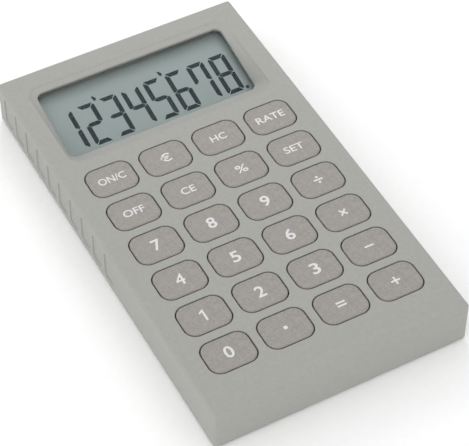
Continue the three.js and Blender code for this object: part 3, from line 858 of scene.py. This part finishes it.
def build_cover():
    low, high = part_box("rear_cover")
    door_low, door_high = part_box("battery_door")
    door = ((door_low.x + door_high.x) / 2, (door_low.y + door_high.y) / 2)
    half = (door_high.x - door_low.x) / 2 + DOOR_GAP
    top = low.z + COVER_THICKNESS
    ledge_z = door_high.z + LEDGE_GAP
    skin = Skin()
    plate = rectangle_outline(high.x - low.x, high.y - low.y, COVER_CORNER)
    edge = bottom_rounding(COVER_ROUND, low.z, 3) + [(0, top, 0), (0, top, math.pi / 2)]
    outer = profile_rings(skin, plate, edge)
    screw_holes = [add_screw_hole(skin, node, low.z, top) for node in CASE_SCREW_NODES]
    foot_hole = circle_outline(FOOT_RADIUS + FOOT_GAP, 48)
    feet = [
        sink(skin, foot_hole, node_centre(node)[:2], RECESS_DEPTH, RECESS_ROUND, low.z)
        for node in FOOT_NODES
    ]
    seat, ledge = add_door_seat(skin, half, door, low.z, ledge_z)
    bay_outline = rectangle_outline(BAY_INNER + 2 * BAY_WALL, BAY_INNER + 2 * BAY_WALL, BAY_WALL, 6)
    bay_wall = [(0, top, 0), (0, high.z, 0), (0, high.z, math.pi / 2)]
    bay_outer = profile_rings(skin, bay_outline, bay_wall, door)
    bay_hole = rectangle_outline(BAY_INNER, BAY_INNER, BAY_CORNER, 6)
    bay_profile = [(0, high.z, math.pi / 2), (0, high.z, 0), (0, ledge_z, 0), (0, ledge_z, -math.pi / 2)]
    bay_inner = profile_rings(skin, bay_hole, bay_profile, door, side=-1)
    skin.strip(bay_outer[-1], bay_inner[0])
    skin.fill(ledge, [bay_inner[-1]], flip=True)
    skin.fill(outer[-1], [over for _, over in screw_holes] + [bay_outer[0]])
    skin.fill(outer[0], [under for under, _ in screw_holes] + feet + [seat], flip=True)
    return skin.build("rear_cover_shell")


def build_door():
    low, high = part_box("battery_door")
    centre = ((low.x + high.x) / 2, (low.y + high.y) / 2)
    skin = Skin()
    plate = rectangle_outline(high.x - low.x, high.y - low.y, DOOR_CORNER, 6)
    profile = bottom_rounding(DOOR_ROUND, low.z, 3) + [(0, high.z, 0), (0, high.z, math.pi / 2)]
    rings = profile_rings(skin, plate, profile, centre)
    groove = rectangle_outline(*GROOVE_SIZE, GROOVE_CORNER, 5)
    grooves = []
    for step in (-1, 0, 1):
        place = (centre[0], centre[1] + (step * GROOVE_PITCH + GROOVE_OFFSET) * MM)
        grooves.append(sink(skin, groove, place, RECESS_DEPTH, RECESS_ROUND, low.z))
    skin.fill(rings[-1])
    skin.fill(rings[0], grooves, flip=True)
    return skin.build("battery_door_plate")


def build_foot(node, index):
    x, y, low, high = node_centre(node)
    skin = Skin()
    rings = profile_rings(
        skin,
        circle_outline(FOOT_RADIUS, 56),
        bottom_rounding(FOOT_ROUND, low, 5) + [(0, high, 0), (0, high, math.pi / 2)],
        (x, y),
    )
    skin.fill(rings[0], flip=True)
    skin.fill(rings[-1])
    return skin.build(f"rubber_foot_{index}")


def build_screw(node, name):
    """A pan-head screw, head down, with a cross recess, a thread and a blunt tip."""
    x, y, low, high = node_centre(node)
    radius = (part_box(node)[1].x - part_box(node)[0].x) / 2
    head = low + HEAD_HEIGHT
    neck = radius - SHANK_RADIUS
    root = neck + THREAD_DEPTH
    profile = bottom_rounding(HEAD_ROUND, low, 5)
    profile += [(0, head, 0), (0, head, math.pi / 2), (root, head, math.pi / 2), (root, head, 0)]
    turns = int((high - head - THREAD_SPARE) / THREAD_PITCH)
    for turn in range(turns):
        foot = head + THREAD_START + turn * THREAD_PITCH
        profile += [(root, foot, 0), (neck, foot + 0.25 * MM, 0), (root, foot + 0.5 * MM, 0)]
    profile += [(radius - 0.25 * MM, high, math.pi / 4)]
    skin = Skin()
    rings = profile_rings(skin, circle_outline(radius, 28), profile, (x, y))
    skin.fill(rings[-1])
    cross = sink_sign(skin, plus_outline(*CROSS_SIZE), (x, y), low, CROSS_DEPTH)
    skin.fill(rings[0], [cross], flip=True)
    return skin.build(name)


def sink_sign(skin, outline, centre, low_z, depth):
    """A sign stamped into an underside, tapering as it goes in. Returns its ring on the underside."""
    mouth = [(centre[0] + a * MM, centre[1] + b * MM, low_z) for a, b in outline]
    taper = SIGN_TAPER * MM
    floor = [(centre[0] + a * taper, centre[1] + b * taper, low_z + depth) for a, b in outline]
    mouth_ring = skin.ring(mouth, [(0, 0, -1)] * len(outline))
    floor_ring = skin.ring(floor)
    skin.strip(floor_ring, mouth_ring)
    skin.fill(floor_ring, flip=True)
    return mouth_ring


def build_cell():
    x, y, low, high = node_centre("coin_cell")
    can = high - 0.6 * MM
    skin = Skin()
    profile = bottom_rounding(0.4 * MM, low, 6) + [
        (0, can - 0.2 * MM, 0),
        (0.2 * MM, can, math.pi / 3),
        (1.2 * MM, can, math.pi / 2),
        (1.2 * MM, can, 0),
        (1.3 * MM, high - 0.2 * MM, 0),
        (1.6 * MM, high, math.pi / 2),
    ]
    rings = profile_rings(skin, circle_outline(10 * MM, 72), profile, (x, y))
    skin.fill(rings[-1])
    pole = sink_sign(skin, plus_outline(*POLE_SIGN_SIZE), (x, y), low, POLE_SIGN_DEPTH)
    skin.fill(rings[0], [pole], flip=True)
    return skin.build("coin_cell_can")


# ---- Materials ----

class Look:
    """One material's node tree, with short calls for the nodes that these surfaces need."""

    def __init__(self, name):
        self.material = bpy.data.materials.new(name)
        self.material.use_nodes = True
        self.tree = self.material.node_tree
        self.shader = self.tree.nodes["Principled BSDF"]
        self.place = self.tree.nodes.new("ShaderNodeTexCoord").outputs["Object"]

    def link(self, source, target):
        self.tree.links.new(source, target)

    def noise(self, grain, detail=2.0, roughness=0.5):
        """Noise whose features are about `grain` metres across."""
        node = self.tree.nodes.new("ShaderNodeTexNoise")
        node.inputs["Scale"].default_value = 1 / grain
        node.inputs["Detail"].default_value = detail
        node.inputs["Roughness"].default_value = roughness
        self.link(self.place, node.inputs["Vector"])
        return node.outputs["Fac"]

    def ranged(self, source, low, high, from_low=0.3, from_high=0.7):
        node = self.tree.nodes.new("ShaderNodeMapRange")
        node.inputs["From Min"].default_value = from_low
        node.inputs["From Max"].default_value = from_high
        node.inputs["To Min"].default_value = low
        node.inputs["To Max"].default_value = high
        self.link(source, node.inputs["Value"])
        return node.outputs["Result"]

    def mixed(self, factor, first, second):
        node = self.tree.nodes.new("ShaderNodeMix")
        node.data_type = "RGBA"
        self.link(factor, node.inputs["Factor"])
        for socket, value in ((node.inputs[6], first), (node.inputs[7], second)):
            if isinstance(value, tuple):
                socket.default_value = (*value, 1)
            else:
                self.link(value, socket)
        return node.outputs[2]

    def bumped(self, height, strength, distance):
        node = self.tree.nodes.new("ShaderNodeBump")
        node.inputs["Strength"].default_value = strength
        node.inputs["Distance"].default_value = distance
        self.link(height, node.inputs["Height"])
        return node.outputs["Normal"]

    def colour(self, source):
        self.link(source, self.shader.inputs["Base Color"])

    def set(self, **values):
        for name, value in values.items():
            self.shader.inputs[name.replace("_", " ")].default_value = value


def shade(colour, share):
    return tuple(channel * share for channel in colour)


def grained_plastic(name, colour, grain, contrast, roughness, bump):
    """Moulded plastic with a fine sand-like texture, faint mottling and uneven gloss."""
    look = Look(name)
    fine = look.noise(grain, 3, 0.6)
    mottle = look.noise(1.6 * MM, 3, 0.6)
    near, far = 0.6 * contrast, 1.6 * contrast
    dark = look.mixed(look.ranged(mottle, 0, 1), shade(colour, 1 - far), shade(colour, 1 - near))
    light = look.mixed(look.ranged(mottle, 0, 1), shade(colour, 1 + near), shade(colour, 1 + far))
    look.colour(look.mixed(look.ranged(fine, 0, 1), dark, light))
    look.link(look.ranged(fine, roughness - 0.06, roughness + 0.06), look.shader.inputs["Roughness"])
    look.link(look.bumped(fine, bump, 0.06 * MM), look.shader.inputs["Normal"])
    look.set(Specular_IOR_Level=0.35)
    return look


def case_look():
    look = grained_plastic("soft_touch_case", (0.345, 0.345, 0.323), 0.45 * MM, 0.05, 0.66, 0.5)
    look.set(Sheen_Weight=0.06, Sheen_Roughness=0.5)
    return look.material


def key_look():
    look = grained_plastic("key_plastic", (0.300, 0.281, 0.263), 0.5 * MM, 0.13, 0.58, 0.6)
    return look.material


def cover_look():
    return grained_plastic("cover_plastic", (0.37, 0.37, 0.345), 0.45 * MM, 0.05, 0.55, 0.6).material


def print_look():
    look = Look("legend_print")
    wear = look.noise(0.35 * MM, 4, 0.6)
    look.colour(look.mixed(look.ranged(wear, 0, 1, 0.35, 0.6), (0.58, 0.585, 0.585), (0.70, 0.705, 0.705)))
    look.link(look.ranged(wear, 0.4, 0.55), look.shader.inputs["Roughness"])
    return look.material


def segment_look():
    look = Look("display_segments")
    cloud = look.noise(1.2 * MM, 2)
    look.colour(look.mixed(look.ranged(cloud, 0, 1), (0.014, 0.024, 0.027), (0.024, 0.036, 0.040)))
    look.link(look.ranged(cloud, 0.7, 0.8), look.shader.inputs["Roughness"])
    look.set(Specular_IOR_Level=0.1)
    return look.material


def reflector_look():
    """The grey film behind the liquid crystal: faintly pearly, with a slow drift in tone."""
    look = Look("display_film")
    pearl = look.noise(0.25 * MM, 2)
    drift = look.noise(25 * MM, 1)
    tone = look.mixed(look.ranged(drift, 0, 1), (0.295, 0.342, 0.334), (0.315, 0.362, 0.354))
    fleck = look.mixed(look.ranged(pearl, 0, 1), (0.29, 0.336, 0.328), (0.32, 0.368, 0.36))
    look.colour(look.mixed(look.ranged(pearl, 0.3, 0.7), tone, fleck))
    look.link(look.ranged(pearl, 0.38, 0.46), look.shader.inputs["Roughness"])
    look.set(Metallic=0.2)
    return look.material


def pane_look(name, tint, gloss_roughness, least_mirror):
    """A clear pane: light goes straight through, and its face mirrors more at a flat angle."""
    look = Look(name)
    nodes = look.tree.nodes
    clear = nodes.new("ShaderNodeBsdfTransparent")
    clear.inputs["Color"].default_value = (*tint, 1)
    gloss = nodes.new("ShaderNodeBsdfGlossy")
    smear = look.noise(6 * MM, 3)
    look.link(look.ranged(smear, gloss_roughness * 0.7, gloss_roughness * 1.3), gloss.inputs["Roughness"])
    facing = nodes.new("ShaderNodeLayerWeight")
    facing.inputs["Blend"].default_value = 0.5
    rise = nodes.new("ShaderNodeMath")
    rise.operation = "POWER"
    rise.inputs[1].default_value = 5
    look.link(facing.outputs["Facing"], rise.inputs[0])
    mix = nodes.new("ShaderNodeMixShader")
    look.link(look.ranged(rise.outputs["Value"], least_mirror, 1, 0, 1), mix.inputs["Fac"])
    look.link(clear.outputs["BSDF"], mix.inputs[1])
    look.link(gloss.outputs["BSDF"], mix.inputs[2])
    look.link(mix.outputs["Shader"], nodes["Material Output"].inputs["Surface"])
    nodes.remove(look.shader)
    return look.material


def metal_look(name, colour, roughness, scratch):
    look = Look(name)
    fine = look.noise(scratch, 4, 0.7)
    look.colour(look.mixed(look.ranged(fine, 0, 1), shade(colour, 0.85), shade(colour, 1.08)))
    look.link(look.ranged(fine, roughness - 0.08, roughness + 0.1), look.shader.inputs["Roughness"])
    look.link(look.bumped(fine, 0.15, 0.02 * MM), look.shader.inputs["Normal"])
    look.set(Metallic=1.0)
    return look.material


def soft_look(name, colour, grain, roughness, bump):
    look = Look(name)
    fine = look.noise(grain, 3, 0.6)
    look.colour(look.mixed(look.ranged(fine, 0, 1), shade(colour, 0.88), shade(colour, 1.1)))
    look.link(look.ranged(fine, roughness - 0.05, roughness + 0.05), look.shader.inputs["Roughness"])
    look.link(look.bumped(fine, bump, 0.05 * MM), look.shader.inputs["Normal"])
    return look.material


def board_look():
    """Green solder mask over copper tracks that show as paler lines."""
    look = Look("board_laminate")
    waves = look.tree.nodes.new("ShaderNodeTexWave")
    waves.inputs["Scale"].default_value = 1 / (5 * MM)
    waves.inputs["Distortion"].default_value = 6
    waves.inputs["Detail"].default_value = 1
    look.link(look.place, waves.inputs["Vector"])
    tracks = look.ranged(waves.outputs["Fac"], 0, 1, 0.55, 0.62)
    look.colour(look.mixed(tracks, (0.012, 0.075, 0.035), (0.035, 0.16, 0.07)))
    look.link(look.ranged(look.noise(2 * MM), 0.25, 0.38), look.shader.inputs["Roughness"])
    look.link(look.bumped(tracks, 0.3, 0.03 * MM), look.shader.inputs["Normal"])
    return look.material


def dress(piece, material):
    piece.data.materials.clear()
    piece.data.materials.append(material)


# ---- The object ----

def stand_in(piece, body, node, material):
    dress(piece, material)
    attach(piece, body)
    if node:
        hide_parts(node)


def dress_node(node, material):
    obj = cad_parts[node]
    obj.data.materials.clear()
    obj.data.materials.append(material)


def build_object():
    case = case_look()
    keys = key_look()
    cover = cover_look()
    legend = print_look()
    rubber = soft_look("foot_rubber", (0.045, 0.045, 0.047), 0.3 * MM, 0.8, 0.4)
    screw = metal_look("screw_steel", (0.56, 0.57, 0.58), 0.3, 0.4 * MM)
    stand_in(build_case(), "case", "case_top", case)
    silicone = soft_look("silicone", (0.42, 0.4, 0.37), 0.5 * MM, 0.7, 0.3)
    stand_in(build_membrane_sheet(), "case", "keypad_membrane", silicone)
    cap_mesh = keycap_mesh(KEY_NODES[0])
    for node in KEY_NODES:
        dome = build_dome(node)
        stand_in(dome, "case", None, silicone)
        press_dome(dome)
        stand_in(build_keycap(node, cap_mesh), node, node, keys)
        stand_in(build_legend(node), node, None, legend)
    stand_in(build_segments(), "case", None, segment_look())
    stand_in(build_cover(), "case", "rear_cover", cover)
    stand_in(build_door(), "battery_door", "battery_door", cover)
    for index, node in enumerate(FOOT_NODES, 1):
        stand_in(build_foot(node, index), "case", node, rubber)
    for node in CASE_SCREW_NODES + BOARD_SCREW_NODES:
        stand_in(build_screw(node, f"cross_{node}"), "case", node, screw)
    steel = metal_look("cell_steel", (0.62, 0.62, 0.61), 0.28, 0.6 * MM)
    stand_in(build_cell(), "case", "coin_cell", steel)
    resin = soft_look("black_resin", (0.012, 0.012, 0.013), 1.5 * MM, 0.3, 0.2)
    contact = metal_look("spring_steel", (0.66, 0.64, 0.6), 0.25, 0.5 * MM)
    looks = {
        "display_lens": pane_look("clear_window", (0.99, 0.995, 0.995), 0.08, 0.012),
        "lcd_glass": pane_look("display_glass", (0.985, 0.99, 0.99), 0.15, 0.006),
        "lcd_reflector": reflector_look(),
        "lcd_frame": soft_look("white_plastic", (0.68, 0.68, 0.65), 0.5 * MM, 0.5, 0.2),
        "lcd_ribbon": soft_look("ribbon_film", (0.3, 0.15, 0.04), 0.8 * MM, 0.4, 0.2),
        "circuit_board": board_look(),
        "chip_blob": resin,
        "capacitor": resin,
        "cell_contact_plus": contact,
        "cell_contact_minus": contact,
    }
    for node, material in looks.items():
        dress_node(node, material)


# ---- Floor, light and camera ----

FLOOR_REACH = 4.0


def floor():
    mesh = bpy.data.meshes.new("floor")
    corners = [(x * FLOOR_REACH, y * FLOOR_REACH, 0) for x, y in ((-1, -1), (1, -1), (1, 1), (-1, 1))]
    mesh.from_pydata(corners, [], [(0, 1, 2, 3)])
    plane = bpy.data.objects.new("floor", mesh)
    bpy.context.scene.collection.objects.link(plane)
    look = Look("floor_paper")
    paper = look.noise(2 * MM, 3)
    look.colour(look.mixed(look.ranged(paper, 0, 1), (0.96, 0.96, 0.96), (0.98, 0.98, 0.98)))
    look.set(Roughness=0.9, Specular_IOR_Level=0.1)
    dress(plane, look.material)


def softbox(name, direction, distance, size, power):
    lamp = bpy.data.lights.new(name, "AREA")
    lamp.shape = "DISK"
    lamp.size = size
    lamp.energy = power
    light = bpy.data.objects.new(name, lamp)
    way = Vector(direction).normalized()
    light.location = way * distance
    light.rotation_mode = "QUATERNION"
    light.rotation_quaternion = way.to_track_quat("Z", "Y")
    bpy.context.scene.collection.objects.link(light)


TENT_BRIGHT_SIDE = Vector((-0.9, -0.45, 0)).normalized()
TENT_LOW = 0.68
TENT_HIGH = 1.36


def light_tent():
    """White surroundings that are dimmer towards the back right, where the tent is open."""
    world = bpy.data.worlds.new("light_tent")
    world.use_nodes = True
    nodes, links = world.node_tree.nodes, world.node_tree.links
    place = nodes.new("ShaderNodeTexCoord")
    facing = nodes.new("ShaderNodeVectorMath")
    facing.operation = "DOT_PRODUCT"
    facing.inputs[1].default_value = TENT_BRIGHT_SIDE
    level = nodes.new("ShaderNodeMapRange")
    level.inputs["From Min"].default_value = -1
    level.inputs["From Max"].default_value = 1
    level.inputs["To Min"].default_value = TENT_LOW
    level.inputs["To Max"].default_value = TENT_HIGH
    links.new(place.outputs["Generated"], facing.inputs[0])
    links.new(facing.outputs["Value"], level.inputs["Value"])
    links.new(level.outputs["Result"], nodes["Background"].inputs["Strength"])
    nodes["Background"].inputs["Color"].default_value = (1, 1, 1, 1)
    bpy.context.scene.world = world
    bpy.context.scene.view_settings.view_transform = "Standard"


BACK_BOX = {"direction": (0.35, 0.8, 0.75), "distance": 0.42, "size": 0.16, "power": 0.25}


def surroundings():
    light_tent()
    softbox("back_box", **BACK_BOX)


# The camera looks down at the case from the front left, through a long lens.
CAMERA_TARGET = Vector((-2.83 * MM, -12.48 * MM, TOP_Z))
CAMERA_TURN = math.radians(28.13)
CAMERA_RISE = math.radians(48.75)
CAMERA_ROLL = math.radians(-0.2)
CAMERA_DISTANCE = 0.5432
LENS = 154.4


def camera():
    data = bpy.data.cameras.new("camera")
    data.sensor_width = 36
    data.lens = LENS
    data.clip_start = 0.01
    data.clip_end = 50
    eye = bpy.data.objects.new("camera", data)
    back = Vector(
        (
            -math.sin(CAMERA_TURN) * math.cos(CAMERA_RISE),
            -math.cos(CAMERA_TURN) * math.cos(CAMERA_RISE),
            math.sin(CAMERA_RISE),
        )
    )
    eye.location = CAMERA_TARGET + back * CAMERA_DISTANCE
    eye.rotation_mode = "QUATERNION"
    upright = back.to_track_quat("Z", "Y").to_matrix().to_4x4()
    eye.rotation_quaternion = (upright @ Matrix.Rotation(CAMERA_ROLL, 4, "Z")).to_quaternion()
    bpy.context.scene.collection.objects.link(eye)
    bpy.context.scene.camera = eye


camera()
floor()
surroundings()
build_object()
